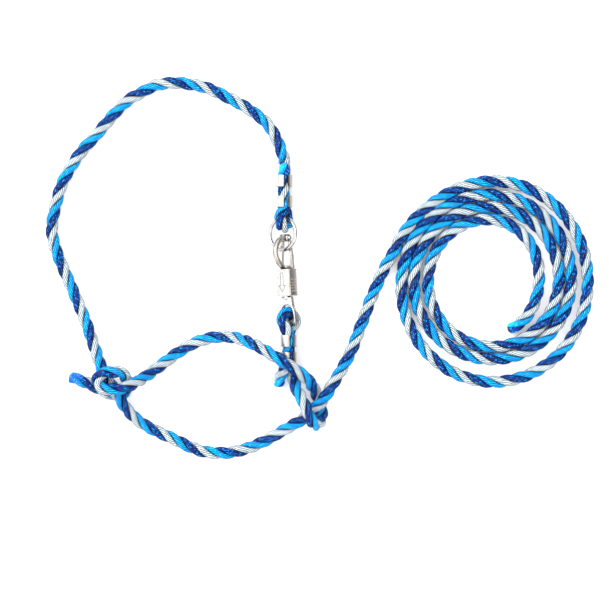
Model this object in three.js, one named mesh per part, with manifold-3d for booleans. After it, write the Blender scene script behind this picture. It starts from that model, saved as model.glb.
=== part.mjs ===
// Adjustable rope halter: a crown and chin rope that runs on into a coiled lead, a nose rope
// wrapped round it on both sides, four rope clamps, an O-ring and a quick-release snap.
// Millimetres, +Z up. The halter lies flat on z = 0 with its nose end towards -Y, the lead runs
// out to +X, and the origin is under the middle of the halter without its lead.
import * as THREE from 'three';
import { mergeVertices } from 'three/addons/utils/BufferGeometryUtils.js';
import Module from 'manifold-3d';

// ---------- driving dimensions ----------
const ROPE_R = 6; // 12 mm three-strand rope
const ROPE_SIDES = 10;
const GAP = 0.3; // clearance between touching pieces
const FLOOR_Z = ROPE_R + 0.2; // centreline of a rope that lies on the ground

const CLAMP_WALL = 1.5;
const CLAMP_INSIDE_R = ROPE_R + 0.5;
const CLAMP_SLOT = 4.6; // opening between the two lips of a clamp
const CLAMP_CORNER_R = 5.4; // rounds the flat base of a clamp into its sides
const LOWER_LEG_Z = CLAMP_WALL + CLAMP_INSIDE_R; // the two legs of a clamped loop lie one on the other
const UPPER_LEG_Z = LOWER_LEG_Z + 2 * ROPE_R + GAP;
const OVER_CLAMP_Z = UPPER_LEG_Z + CLAMP_INSIDE_R + CLAMP_WALL + GAP + ROPE_R; // a rope crossing a clamp
const CROWN_LOOP_X = 97; // straight run of the clamped crown loop
const CHEEK_LOOP_X = 101.5; // straight run of the clamped cheek loop

const WRAPPED_Z = 19; // a rope with another rope passing under it

const RING_WIRE_R = 2;
const RING_R = 16; // centreline radius of the O-ring
const RING_CENTRE = new THREE.Vector3(95.7, 34, 15.8);
const RING_TILT = THREE.MathUtils.degToRad(37); // right side up
const RING_LEAN = THREE.MathUtils.degToRad(-4.5);
const CROWN_BIGHT_R = 9.2; // the crown loop's bend round the ring
const CROWN_BIGHT_ROLL = THREE.MathUtils.degToRad(25);

// the snap's own frame: +Y towards the ring, +Z out of its front, origin at the sleeve's top
const SNAP_ORIGIN = new THREE.Vector3(98.8, -1, 14.6);
const SNAP_ROLL = THREE.MathUtils.degToRad(40); // right edge up
const SNAP_LEAN = THREE.MathUtils.degToRad(3);
const SLEEVE_LENGTH = 27;
const SLEEVE_W = 19.2;
const SLEEVE_D = 13.8;
const SLEEVE_WALL = 1.5;
const LIP_Y = -7; // the lip inside the sleeve that the spring pushes on
const LIP_THICK = 1.5;
const SHANK_R = 3.4;
const SPRING_R = 4.6;
const SPRING_WIRE_R = 0.4;
const SPRING_COILS = 7;
const FORK_Z = -2.6; // the fork's plate lies behind the middle of the sleeve
const FORK_THICK = 3.4;
const HINGE_Y = 31;
const HINGE_Z = -1.6;
const RIVET_R = 1.5;
const KNUCKLE_R = 3.8;
const BOW_WIDTH = 5.2;
const EYE_BAR_Y = -53.1;
const EYE_THICK = 4.2;
const CHEEK_BIGHT_R = 9.7; // the cheek loop's bend round the eye's bar

const COIL_CENTRE = new THREE.Vector2(305, -13);
const COIL_OUTSIDE_R = 107;
const COIL_INSIDE_R = 46;

// ---------- materials ----------
const rope = new THREE.MeshStandardMaterial({ color: 0x2b86d0, roughness: 0.7, metalness: 0 });
const fused = new THREE.MeshStandardMaterial({ color: 0x1566b8, roughness: 0.35, metalness: 0 });
const clampMetal = new THREE.MeshStandardMaterial({ color: 0xd6d1c6, roughness: 0.3, metalness: 1 });
const nickel = new THREE.MeshStandardMaterial({ color: 0xcfcbc2, roughness: 0.2, metalness: 1 });
const springSteel = new THREE.MeshStandardMaterial({ color: 0x9a9a9c, roughness: 0.4, metalness: 1 });

const halter = new THREE.Group();

function addPiece(name, geometry, material, parent = halter) {
  const mesh = new THREE.Mesh(geometry, material);
  mesh.name = name;
  parent.add(mesh);
  return mesh;
}

// ---------- joining and cutting ----------
const wasm = await Module();
wasm.setup();

function toSolid(geometry) {
  const bare = geometry.clone();
  for (const key of Object.keys(bare.attributes)) if (key !== 'position') bare.deleteAttribute(key);
  const merged = mergeVertices(bare, 1e-4);
  return new wasm.Manifold(new wasm.Mesh({
    numProp: 3,
    vertProperties: new Float32Array(merged.attributes.position.array),
    triVerts: new Uint32Array(merged.index.array),
  }));
}

function toGeometry(solid) {
  const mesh = solid.getMesh();
  const geometry = new THREE.BufferGeometry();
  geometry.setAttribute('position', new THREE.Float32BufferAttribute(mesh.vertProperties, 3));
  geometry.setIndex(Array.from(mesh.triVerts));
  geometry.computeVertexNormals();
  return geometry;
}

const join = (...parts) => parts.map(toSolid).reduce((whole, part) => whole.add(part));

// ---------- shapes ----------
function plate(shape, depth, z = 0, curveSegments = 8) {
  const options = { depth, bevelEnabled: false, curveSegments };
  return new THREE.ExtrudeGeometry(shape, options).translate(0, 0, z - depth / 2);
}

// turns a plate drawn in (y, z) and extruded along x into place
function alongX(geometry) {
  const axes = new THREE.Matrix4().makeBasis(
    new THREE.Vector3(0, 1, 0), new THREE.Vector3(0, 0, 1), new THREE.Vector3(1, 0, 0),
  );
  return geometry.applyMatrix4(axes);
}

// turns a plate drawn in (x, z) and extruded along -y into place
function alongY(geometry) {
  const axes = new THREE.Matrix4().makeBasis(
    new THREE.Vector3(1, 0, 0), new THREE.Vector3(0, 0, 1), new THREE.Vector3(0, -1, 0),
  );
  return geometry.applyMatrix4(axes);
}

function roundedRect(width, height, radius) {
  const [x, y] = [width / 2 - radius, height / 2 - radius];
  const shape = new THREE.Shape();
  shape.absarc(x, y, radius, 0, Math.PI / 2);
  shape.absarc(-x, y, radius, Math.PI / 2, Math.PI);
  shape.absarc(-x, -y, radius, Math.PI, 1.5 * Math.PI);
  shape.absarc(x, -y, radius, 1.5 * Math.PI, 2 * Math.PI);
  return shape;
}

function circle(radius, sides) {
  const points = [];
  for (let i = 0; i < sides; i += 1) {
    const turn = (2 * Math.PI * i) / sides;
    points.push(new THREE.Vector2(radius * Math.cos(turn), radius * Math.sin(turn)));
  }
  return new THREE.Shape(points);
}

function tube(path, steps, radius = ROPE_R, sides = ROPE_SIDES) {
  return new THREE.ExtrudeGeometry(circle(radius, sides), { extrudePath: path, steps });
}

// the stretch of a curve between two distances along it
class Stretch extends THREE.Curve {
  constructor(whole, from, to) {
    super();
    this.whole = whole;
    this.from = from / whole.getLength();
    this.to = to / whole.getLength();
  }

  getPoint(t, target = new THREE.Vector3()) {
    return this.whole.getPointAt(THREE.MathUtils.lerp(this.from, this.to, t), target);
  }
}

// distance along a curve of the place nearest to a point, between two shares of its length
function distanceAt(curve, point, low = 0, high = 1) {
  const samples = 4000;
  let best = { gap: Infinity, share: low };
  for (let i = 0; i <= samples; i += 1) {
    const share = THREE.MathUtils.lerp(low, high, i / samples);
    const gap = curve.getPointAt(share).distanceTo(point);
    if (gap < best.gap) best = { gap, share };
  }
  return best.share * curve.getLength();
}

const points = (list) => list.map(([x, y, z = FLOOR_Z]) => new THREE.Vector3(x, y, z));

// half a turn round a pin, from its front leg to its rear leg; the plane of the bend is rolled
// about +Y, and `sign` is -1 where the bend points to -Y and 1 where it points to +Y
function bight(centre, radius, roll, sign, count = 7) {
  const across = new THREE.Vector3(-Math.sin(roll), 0, Math.cos(roll));
  const list = [];
  for (let i = 0; i < count; i += 1) {
    const turn = (Math.PI * i) / (count - 1);
    list.push(centre.clone()
      .addScaledVector(across, radius * Math.cos(turn))
      .addScaledVector(new THREE.Vector3(0, sign, 0), radius * Math.sin(turn)));
  }
  return list;
}

// ---------- rope A: crown loop, crown, chin and lead ----------
const crownTail = points([
  [95.5, 106, UPPER_LEG_Z],
  [96.6, 98, UPPER_LEG_Z],
  [CROWN_LOOP_X, 92, UPPER_LEG_Z],
  [CROWN_LOOP_X, 76, UPPER_LEG_Z],
  [CROWN_LOOP_X, 60, UPPER_LEG_Z],
]);
const crownBight = bight(
  new THREE.Vector3(CROWN_LOOP_X, RING_CENTRE.y + RING_R, RING_CENTRE.z),
  CROWN_BIGHT_R, CROWN_BIGHT_ROLL, -1,
);
const crown = points([
  [CROWN_LOOP_X, 60, LOWER_LEG_Z],
  [CROWN_LOOP_X, 76, LOWER_LEG_Z],
  [CROWN_LOOP_X, 93, LOWER_LEG_Z],
  [97, 108, 7],
  [82, 142],
  [60, 160],
  [39, 171.5],
  [19, 180.5],
  [-1, 184.5],
  [-14, 185.3],
  [-31, 183],
  [-44, 176.5],
  [-61, 166.5],
  [-92, 132],
  [-105.5, 117],
  [-117, 100],
  [-125.5, 83.5],
  [-130.5, 67],
  [-134, 51.5],
  [-135.5, 38.5],
  [-133.5, 26],
  [-129, 12],
  [-122.5, -3.5],
  [-111.5, -29],
  [-101, -54.5, 7.5],
  [-92, -80, 13],
  [-83.5, -102.5, WRAPPED_Z],
  [-75.8, -115.3, WRAPPED_Z],
]);
const chin = points([
  [-68, -128.3, WRAPPED_Z],
  [-60, -141, 14],
  [-49, -152.5, 8],
  [-37, -160],
  [-13.5, -171],
  [1, -178],
  [15.5, -183.3],
  [30.5, -185],
  [45, -184.2],
  [60, -180.5, 6.5],
  [74.5, -174.5, 8],
  [89, -166.5, 11],
  [103.5, -158, 15.5],
  [115.5, -151, WRAPPED_Z],
  [126, -141.5, WRAPPED_Z],
]);
const lead = points([
  [136.5, -131, WRAPPED_Z],
  [144.5, -118, 16],
  [152.5, -105, 12.5],
  [159.5, -92.5, 9],
  [166.5, -77.5, 6.8],
  [172, -62.5],
  [178, -47],
  [182.5, -34],
  [188, -21.5],
  [191.5, -13],
]);
const ropeA = new THREE.CatmullRomCurve3([...crownTail, ...crownBight, ...crown, ...chin, ...lead]);
ropeA.arcLengthDivisions = 2000;

// ---------- rope B: nose rope with its wrap, its eye and the cheek loop ----------
const noseTail = points([
  [-118, -108.3, 6.8],
  [-109, -111.5, 6.8],
  [-101, -114.5, 6.5],
]);
// under rope A, up its right side, back over it, and round to cross it again to the noseband
const noseHitch = points([
  [-93, -118.2],
  [-84, -122.8],
  [-75, -126.4],
  [-66.6, -126.9, 6.2],
  [-60.5, -122, 9.8],
  [-59.7, -113.7, 17.5],
  [-62.2, -106.2, 26.2],
  [-69.5, -103.5, 32.4],
  [-80.3, -104.3, 32.9],
  [-86, -106.7, 32.1],
  [-88.4, -112.4, 31.2],
  [-86, -118.1, 31.8],
  [-79.5, -120.6, 32.7],
  [-64, -119.9, 33.4],
]);
const noseband = points([
  [-52.5, -115.2, 28.5],
  [-40.5, -108, 16],
  [-26.5, -97.5, 7],
  [-12, -86.5],
  [3.5, -76.8],
  [18.5, -71],
  [33.5, -68.5, 7],
  [48, -69.5, 11.5],
  [61, -73.6, 20],
  [73, -79, 29],
  [85, -86.3, OVER_CLAMP_Z - 0.2],
  [97, -93.7, OVER_CLAMP_Z],
  [108, -101, OVER_CLAMP_Z - 2],
  [120, -110.5, 25],
]);
const noseEye = points([
  [127.5, -122, 12.5],
  [132, -133, FLOOR_Z + 0.2],
  [134.8, -143.5, FLOOR_Z + 0.6],
  [134.2, -151.3, 12],
  [129.8, -156.6, 19.8],
  [125.2, -153.2, 28.9],
  [120.3, -143, 32.3],
  [115, -130.5, 29],
  [109, -119.5, 20.5],
  [105.6, -107, 11],
]);
const cheek = points([
  [CHEEK_LOOP_X, -95, LOWER_LEG_Z],
  [CHEEK_LOOP_X, -80, LOWER_LEG_Z],
  [CHEEK_LOOP_X, -66, LOWER_LEG_Z],
]);
const snapAxis = new THREE.Vector3(-Math.sin(SNAP_LEAN), Math.cos(SNAP_LEAN), 0);
const cheekBight = bight(
  SNAP_ORIGIN.clone().addScaledVector(snapAxis, EYE_BAR_Y), CHEEK_BIGHT_R, SNAP_ROLL, 1,
).reverse();
const cheekTail = points([
  [CHEEK_LOOP_X, -66, UPPER_LEG_Z],
  [CHEEK_LOOP_X, -80, UPPER_LEG_Z],
  [CHEEK_LOOP_X, -94.5, UPPER_LEG_Z],
  [97.5, -102, 18.4],
  [93.2, -108, 13.5],
  [91.9, -113.5, 9.2],
  [92, -119, 7.2],
]);
const ropeB = new THREE.CatmullRomCurve3([
  ...noseTail, ...noseHitch, ...noseband, ...noseEye, ...cheek, ...cheekBight, ...cheekTail,
]);
ropeB.arcLengthDivisions = 2000;

// ---------- the rope's pieces, face to face along the two centrelines ----------
const FUSED_LENGTH = 12;

function runs(curve, cuts, names, stepLength) {
  names.forEach((name, i) => {
    const from = cuts[i] + (i > 0 ? GAP / 2 : 0);
    const to = cuts[i + 1] - GAP / 2;
    const steps = Math.round((to - from) / stepLength[i]);
    addPiece(name, tube(new Stretch(curve, from, to), steps), rope);
  });
}

runs(
  ropeA,
  [
    FUSED_LENGTH,
    distanceAt(ropeA, crown[3], 0.1),
    distanceAt(ropeA, crown[crown.length - 3]),
    distanceAt(ropeA, lead[0].clone().lerp(lead[1], 0.3)),
    ropeA.getLength(),
  ],
  ['crown_loop', 'crown_rope', 'chin_rope', 'lead_rope'],
  [5, 18, 15, 20],
);
runs(
  ropeB,
  [
    FUSED_LENGTH,
    distanceAt(ropeB, noseband[1]),
    distanceAt(ropeB, noseband[noseband.length - 1]),
    distanceAt(ropeB, noseEye[noseEye.length - 1]),
    ropeB.getLength() - FUSED_LENGTH,
  ],
  ['nose_wrap', 'noseband', 'nose_eye', 'cheek_loop'],
  [4.5, 12, 6, 5],
);

// a rope end whose strands are melted into one plug, from its flat face inwards
function fusedEnd(name, curve, atStart) {
  const share = (FUSED_LENGTH - 3 * GAP) / curve.getLength();
  const root = atStart ? share : 1 - share;
  const start = curve.getPointAt(root);
  const direction = curve.getTangentAt(root).multiplyScalar(atStart ? -1 : 1);
  const length = FUSED_LENGTH - 3 * GAP;
  const profile = [[0, 0], [5.9, 0], [6, 3], [5.6, length - 3], [4.8, length - 0.6], [0, length]];
  const geometry = new THREE.LatheGeometry(profile.map(([r, y]) => new THREE.Vector2(r, y)), 14);
  const mesh = addPiece(name, geometry, fused);
  mesh.position.copy(start);
  mesh.quaternion.setFromUnitVectors(new THREE.Vector3(0, 1, 0), direction);
}

fusedEnd('crown_tail_end', ropeA, true);
fusedEnd('nose_tail_end', ropeB, true);
fusedEnd('cheek_tail_end', ropeB, false);

// ---------- the coil of the lead: turns lying side by side, as one ring ----------
{
  const [inside, outside, top] = [COIL_INSIDE_R, COIL_OUTSIDE_R, 2 * ROPE_R];
  const round = 3;
  const profile = [
    [inside, round], [inside + round, 0], [outside - round, 0], [outside, round],
    [outside, top - round], [outside - round, top], [inside + round, top], [inside, top - round],
    [inside, round],
  ].map(([r, z]) => new THREE.Vector2(r, z));
  const coil = addPiece('lead_coil', new THREE.LatheGeometry(profile, 48), rope);
  coil.rotation.x = Math.PI / 2;
  coil.position.set(COIL_CENTRE.x, COIL_CENTRE.y, 0);
}

// ---------- rope clamps: C-shaped bands squeezed round two legs of rope ----------
function clampShape(slotX) {
  const [inner, outer] = [CLAMP_INSIDE_R, CLAMP_INSIDE_R + CLAMP_WALL];
  const leftLip = Math.PI / 2 + Math.asin((CLAMP_SLOT / 2 - slotX) / outer);
  const rightLip = Math.PI / 2 - Math.asin((CLAMP_SLOT / 2 + slotX) / outer);
  const shape = new THREE.Shape();
  shape.absarc(0, UPPER_LEG_Z, outer, leftLip, Math.PI);
  shape.absarc(CLAMP_CORNER_R - outer, CLAMP_CORNER_R, CLAMP_CORNER_R, Math.PI, 1.5 * Math.PI);
  shape.absarc(outer - CLAMP_CORNER_R, CLAMP_CORNER_R, CLAMP_CORNER_R, 1.5 * Math.PI, 2 * Math.PI);
  shape.absarc(0, UPPER_LEG_Z, outer, 0, rightLip);
  shape.absarc(0, UPPER_LEG_Z, inner, rightLip, 0, true);
  shape.absarc(0, LOWER_LEG_Z, inner, 2 * Math.PI, Math.PI, true);
  shape.absarc(0, UPPER_LEG_Z, inner, Math.PI, leftLip, true);
  return shape;
}

const CLAMPS = [
  { name: 'crown_clamp_upper', x: CROWN_LOOP_X, y: 86.8, width: 11.6, slotX: 2.3 },
  { name: 'crown_clamp_lower', x: CROWN_LOOP_X, y: 66.3, width: 11, slotX: 2.3 },
  { name: 'cheek_clamp_upper', x: CHEEK_LOOP_X, y: -72.8, width: 12, slotX: 3.2 },
  { name: 'cheek_clamp_lower', x: CHEEK_LOOP_X, y: -89, width: 10, slotX: 3.2 },
];
for (const { name, x, y, width, slotX } of CLAMPS) {
  const band = addPiece(name, alongY(plate(clampShape(slotX), width, 0, 10)), clampMetal);
  band.position.set(x, y, 0);
}

// ---------- O-ring ----------
{
  const ring = addPiece('o_ring', new THREE.TorusGeometry(RING_R, RING_WIRE_R, 12, 40), nickel);
  ring.rotation.set(0, -RING_TILT, RING_LEAN, 'ZYX');
  ring.position.copy(RING_CENTRE);
}

// ---------- quick-release snap ----------
const snap = new THREE.Group();
snap.position.copy(SNAP_ORIGIN);
snap.rotation.set(0, -SNAP_ROLL, SNAP_LEAN, 'ZYX');
halter.add(snap);

// body: two prongs with ears for the rivet, a round shank inside the sleeve, and the rope eye
function prong(side) {
  const shape = new THREE.Shape([
    [4.7, 0.5], [8, 0.5], [8.2, 10], [7.6, 18], [6, 26], [5.7, HINGE_Y], [3, HINGE_Y], [3.2, 24], [4.7, 14],
  ].map(([x, y]) => new THREE.Vector2(side * x, y)));
  return plate(shape, FORK_THICK, FORK_Z);
}

function ear(side) {
  const disc = alongX(plate(circle(KNUCKLE_R, 20), 2.6));
  return disc.translate(side * 4.4, HINGE_Y, HINGE_Z);
}

function eyeShape() {
  const shape = new THREE.Shape();
  shape.moveTo(6.4, -27.6);
  shape.quadraticCurveTo(7.3, -33, 7.7, -38);
  shape.quadraticCurveTo(10.4, -43, 10.4, -50);
  shape.quadraticCurveTo(10.2, -55.3, 6.5, -55.3);
  shape.lineTo(-6.5, -55.3);
  shape.quadraticCurveTo(-10.2, -55.3, -10.4, -50);
  shape.quadraticCurveTo(-10.4, -43, -7.7, -38);
  shape.quadraticCurveTo(-7.3, -33, -6.4, -27.6);
  const hole = new THREE.Path();
  hole.absarc(0, -43.2, 7.1, 0, Math.PI);
  hole.lineTo(-7.1, -50.9);
  hole.lineTo(7.1, -50.9);
  shape.holes.push(hole);
  return shape;
}

function snapBody() {
  const bridge = plate(roundedRect(16.4, 3, 0.4), 3.6, FORK_Z).translate(0, 1.9, 0);
  const foot = new THREE.BoxGeometry(6, 8, 4).translate(1.5, -1.6, FORK_Z - 0.2);
  const shank = new THREE.CylinderGeometry(SHANK_R, SHANK_R, 28, 20).translate(0, -16, 0);
  const toeRoom = new THREE.BoxGeometry(BOW_WIDTH + 1.4, 8, 8).translate(0, -1, 4 - 0.9);
  const solid = toSolid(shank).subtract(toSolid(toeRoom))
    .add(join(prong(1), prong(-1), ear(1), ear(-1), bridge, foot, plate(eyeShape(), EYE_THICK)));
  const rivetHole = new THREE.CylinderGeometry(RIVET_R + 0.05, RIVET_R + 0.05, 30, 24).rotateZ(Math.PI / 2);
  return toGeometry(solid.subtract(toSolid(rivetHole.translate(0, HINGE_Y, HINGE_Z))));
}
addPiece('snap_body', snapBody(), nickel, snap);

// gate: a bow that hangs from the rivet, bulges forward and tucks its toe into the sleeve
function snapGate() {
  const spine = new THREE.CatmullRomCurve3([
    [HINGE_Y - 1, HINGE_Z + 1.5], [28.5, 5.5], [24.5, 10.5], [18, 12.6], [11, 11.2], [5, 7.2], [2.2, 4.2], [-0.6, 1.9],
  ].map(([y, z]) => new THREE.Vector3(y, z, 0)));
  const half = 1.6;
  const [front, back] = [[], []];
  for (let i = 0; i <= 18; i += 1) {
    const centre = spine.getPointAt(i / 18);
    const along = spine.getTangentAt(i / 18);
    const thin = i > 14 ? half - 0.15 * (i - 14) : half;
    front.push(new THREE.Vector2(centre.x - along.y * thin, centre.y + along.x * thin));
    back.push(new THREE.Vector2(centre.x + along.y * thin, centre.y - along.x * thin));
  }
  const bow = alongX(plate(new THREE.Shape([...front, ...back.reverse()]), BOW_WIDTH));
  const knuckle = alongX(plate(circle(KNUCKLE_R, 20), BOW_WIDTH)).translate(0, HINGE_Y, HINGE_Z);
  const hole = alongX(plate(circle(RIVET_R + 0.3, 24), 20)).translate(0, HINGE_Y, HINGE_Z);
  return toGeometry(join(bow, knuckle).subtract(toSolid(hole)));
}
addPiece('snap_gate', snapGate(), nickel, snap);

// rivet: a shaft with a rounded head at each end
{
  const end = 5.7 + GAP;
  const profile = [
    [0, -end - 1.4], [1.6, -end - 1.1], [2.4, -end], [RIVET_R - 0.25, -end],
    [RIVET_R - 0.25, end], [2.4, end], [1.6, end + 1.1], [0, end + 1.4],
  ].map(([r, y]) => new THREE.Vector2(r, y));
  const rivet = addPiece('gate_rivet', new THREE.LatheGeometry(profile, 20), nickel, snap);
  rivet.rotation.z = Math.PI / 2;
  rivet.position.set(0, HINGE_Y, HINGE_Z);
}

// sleeve: a rounded box round the shank, with an inner lip for the spring and grip ridges
function releaseSleeve() {
  const shell = roundedRect(SLEEVE_W, SLEEVE_D, 3.4);
  shell.holes.push(roundedRect(SLEEVE_W - 2 * SLEEVE_WALL, SLEEVE_D - 2 * SLEEVE_WALL, 2));
  const lip = roundedRect(SLEEVE_W - 1.5, SLEEVE_D - 1.5, 2.4);
  lip.holes.push(circle(SHANK_R + GAP, 20));
  const tall = alongY(plate(shell, SLEEVE_LENGTH)).translate(0, -SLEEVE_LENGTH / 2, 0);
  const shelf = alongY(plate(lip, LIP_THICK)).translate(0, LIP_Y, 0);
  let solid = toSolid(tall).add(toSolid(shelf));
  for (const side of [-1, 1]) {
    for (let i = 0; i < 5; i += 1) {
      const ridge = new THREE.CylinderGeometry(0.7, 0.7, 7, 8).rotateX(Math.PI / 2);
      solid = solid.add(toSolid(ridge.translate(side * (SLEEVE_W / 2), -11.5 - 3 * i, 0)));
    }
  }
  return toGeometry(solid);
}
addPiece('release_sleeve', releaseSleeve(), nickel, snap);

// spring: between the sleeve's lip and the shoulder above the eye
{
  const [top, bottom] = [LIP_Y - LIP_THICK / 2 - GAP - SPRING_WIRE_R, -27.3 + SPRING_WIRE_R + GAP];
  class Helix extends THREE.Curve {
    getPoint(t, target = new THREE.Vector3()) {
      const turn = 2 * Math.PI * SPRING_COILS * t;
      return target.set(SPRING_R * Math.cos(turn), THREE.MathUtils.lerp(top, bottom, t), SPRING_R * Math.sin(turn));
    }
  }
  const coil = tube(new Helix(), SPRING_COILS * 12, SPRING_WIRE_R, 6);
  addPiece('sleeve_spring', coil, springSteel, snap);
}

export default halter;
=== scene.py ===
"""Looks of the rope halter: laid three-strand ropes, melted ends, clamps, ring and quick-release snap.

Metres, +Z up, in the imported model's own frame. The halter lies flat on z = 0.
"""
import math

import bmesh
import bpy
import numpy as np
from mathutils import Matrix, Vector


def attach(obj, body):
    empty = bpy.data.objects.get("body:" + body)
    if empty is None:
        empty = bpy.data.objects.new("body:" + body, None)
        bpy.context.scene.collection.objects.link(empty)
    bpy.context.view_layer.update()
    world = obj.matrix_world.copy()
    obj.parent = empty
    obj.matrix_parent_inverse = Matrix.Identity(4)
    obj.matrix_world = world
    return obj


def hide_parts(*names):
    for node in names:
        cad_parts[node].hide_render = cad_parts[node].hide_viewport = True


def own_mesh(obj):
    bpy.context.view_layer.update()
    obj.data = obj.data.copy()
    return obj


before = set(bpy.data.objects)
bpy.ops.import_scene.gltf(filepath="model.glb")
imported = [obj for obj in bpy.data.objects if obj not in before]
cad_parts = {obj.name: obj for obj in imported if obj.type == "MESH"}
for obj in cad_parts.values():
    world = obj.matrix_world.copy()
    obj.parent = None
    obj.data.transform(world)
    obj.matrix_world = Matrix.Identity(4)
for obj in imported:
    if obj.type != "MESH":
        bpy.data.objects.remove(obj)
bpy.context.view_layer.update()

# ---------- driving dimensions ----------
ROPE_R = 0.006
FLOOR_Z = 0.0062  # centreline of a rope that lies on the ground
LOWER_LEG_Z = 0.008  # the two legs of a clamped loop lie one on the other
UPPER_LEG_Z = 0.0203
OVER_CLAMP_Z = 0.0346
WRAPPED_Z = 0.019
CROWN_LOOP_X = 0.097
CHEEK_LOOP_X = 0.1015
RING_R = 0.016
RING_WIRE_R = 0.002
RING_CENTRE = np.array([0.0957, 0.034, 0.0158])
RING_TILT = math.radians(37)
RING_LEAN = math.radians(-4.5)
CROWN_BIGHT_R = 0.0092
CROWN_BIGHT_ROLL = math.radians(25)
SNAP_ORIGIN = np.array([0.0988, -0.001, 0.0146])
SNAP_ROLL = math.radians(40)
SNAP_LEAN = math.radians(3)
EYE_BAR_Y = -0.0531
CHEEK_BIGHT_R = 0.0097
COIL_CENTRE = np.array([0.305, -0.013, FLOOR_Z])
UP = np.array([0.0, 0.0, 1.0])

# the lay of the rope: three strands, each of nine yarns that turn back against the strand's own turn
STRAND_R = 0.00318
STRAND_OFFSET = 0.00318
YARNS = 9
SIDES_PER_YARN = 3
YARN_DEPTH = 0.00080
YARN_TURN = -310.0  # radians per metre of rope
LAY_PITCH = 0.0404  # metres of rope in which its strands make one turn
MELT_LENGTH = 0.007  # the strands are one smooth plug for this far
MELT_FADE = 0.008  # and their yarns show fully again after this much more


# ---------- routes ----------
def unit(v):
    return v / np.linalg.norm(v, axis=-1, keepdims=True)


def route(*lists):
    """Points in metres; a point with no height lies on the ground."""
    return np.array([tuple(p) + (FLOOR_Z,) * (3 - len(p)) for part in lists for p in part])


def bight(centre, radius, roll, sign, count=7):
    """Half a turn round a pin from the front leg to the rear one, its plane rolled about +Y."""
    across = np.array([-math.sin(roll), 0, math.cos(roll)])
    turns = [math.pi * i / (count - 1) for i in range(count)]
    ahead = np.array([0, sign, 0])
    return [centre + radius * (math.cos(t) * across + math.sin(t) * ahead) for t in turns]


def smooth_line(points, step):
    """A centripetal Catmull-Rom curve through the points, sampled every step."""
    p = np.vstack([2 * points[0] - points[1], points, 2 * points[-1] - points[-2]])
    dense = []
    t = np.linspace(0, 1, 24, endpoint=False)[:, None]
    for a, b, c, d in zip(p, p[1:], p[2:], p[3:]):
        g0, g1, g2 = (np.linalg.norm(v) ** 0.5 for v in (b - a, c - b, d - c))
        m1 = ((b - a) / g0 - (c - a) / (g0 + g1) + (c - b) / g1) * g1
        m2 = ((c - b) / g1 - (d - b) / (g1 + g2) + (d - c) / g2) * g1
        dense.append(b + m1 * t + (3 * (c - b) - 2 * m1 - m2) * t**2 + (2 * (b - c) + m1 + m2) * t**3)
    dense.append(points[-1:])
    dense = np.vstack(dense)
    along = np.concatenate([[0], np.cumsum(np.linalg.norm(np.diff(dense, axis=0), axis=1))])
    count = int(round(along[-1] / step))
    want = np.linspace(0, along[-1], count + 1)
    return np.stack([np.interp(want, along, dense[:, k]) for k in range(3)], axis=1)


def coil_points():
    """The lead's coil, clockwise and inwards from its top, by its radius at each quarter turn."""
    quarters = [0.0905, 0.100, 0.096, 0.101, 0.0905, 0.0864, 0.0795, 0.0782,
                0.0782, 0.074, 0.067, 0.0658, 0.064, 0.0615, 0.047, 0.054]
    glint_spots = np.arange(len(quarters))
    first, last, per_quarter = 0.75, 14.8, 4
    count = int((last - first) * per_quarter)
    points = []
    for q in np.linspace(first, last, count + 1):
        low = int(q)
        near = [quarters[min(max(low + k, 0), glint_spots[-1])] for k in (-1, 0, 1, 2)]
        f = q - low
        radius = near[1] + 0.5 * f * (near[2] - near[0] + f * (
            2 * near[0] - 5 * near[1] + 4 * near[2] - near[3]
            + f * (3 * (near[1] - near[2]) + near[3] - near[0])))
        angle = math.pi - q * math.pi / 2
        points.append(COIL_CENTRE + radius * np.array([math.cos(angle), math.sin(angle), 0]))
    return points


CROWN_TAIL = [
    (0.0955, 0.106, UPPER_LEG_Z), (0.0966, 0.098, UPPER_LEG_Z), (CROWN_LOOP_X, 0.092, UPPER_LEG_Z),
    (CROWN_LOOP_X, 0.076, UPPER_LEG_Z), (CROWN_LOOP_X, 0.060, UPPER_LEG_Z),
]
CROWN_BIGHT = bight(
    np.array([CROWN_LOOP_X, RING_CENTRE[1] + RING_R, RING_CENTRE[2]]),
    CROWN_BIGHT_R, CROWN_BIGHT_ROLL, -1)
CROWN = [
    (CROWN_LOOP_X, 0.060, LOWER_LEG_Z), (CROWN_LOOP_X, 0.076, LOWER_LEG_Z),
    (CROWN_LOOP_X, 0.093, LOWER_LEG_Z), (0.097, 0.108, 0.007), (0.082, 0.142), (0.060, 0.160),
    (0.039, 0.1715), (0.019, 0.1805), (-0.001, 0.1845), (-0.014, 0.1853), (-0.031, 0.183),
    (-0.044, 0.1765), (-0.061, 0.1665), (-0.092, 0.132), (-0.1055, 0.117), (-0.117, 0.100),
    (-0.1255, 0.0835), (-0.1305, 0.067), (-0.134, 0.0515), (-0.1355, 0.0385), (-0.1335, 0.026),
    (-0.129, 0.012), (-0.1225, -0.0035), (-0.1115, -0.029), (-0.101, -0.0545, 0.0075),
    (-0.092, -0.080, 0.013), (-0.0835, -0.1025, WRAPPED_Z), (-0.0758, -0.1153, WRAPPED_Z),
]
CHIN = [
    (-0.068, -0.1283, WRAPPED_Z), (-0.060, -0.141, 0.014), (-0.049, -0.1525, 0.008),
    (-0.037, -0.160), (-0.0135, -0.171), (0.001, -0.178), (0.0155, -0.1833), (0.0305, -0.185),
    (0.045, -0.1842), (0.060, -0.1805, 0.0065), (0.0745, -0.1745, 0.008), (0.089, -0.1665, 0.011),
    (0.1035, -0.158, 0.0155), (0.1155, -0.151, WRAPPED_Z), (0.126, -0.1415, WRAPPED_Z),
]
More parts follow.
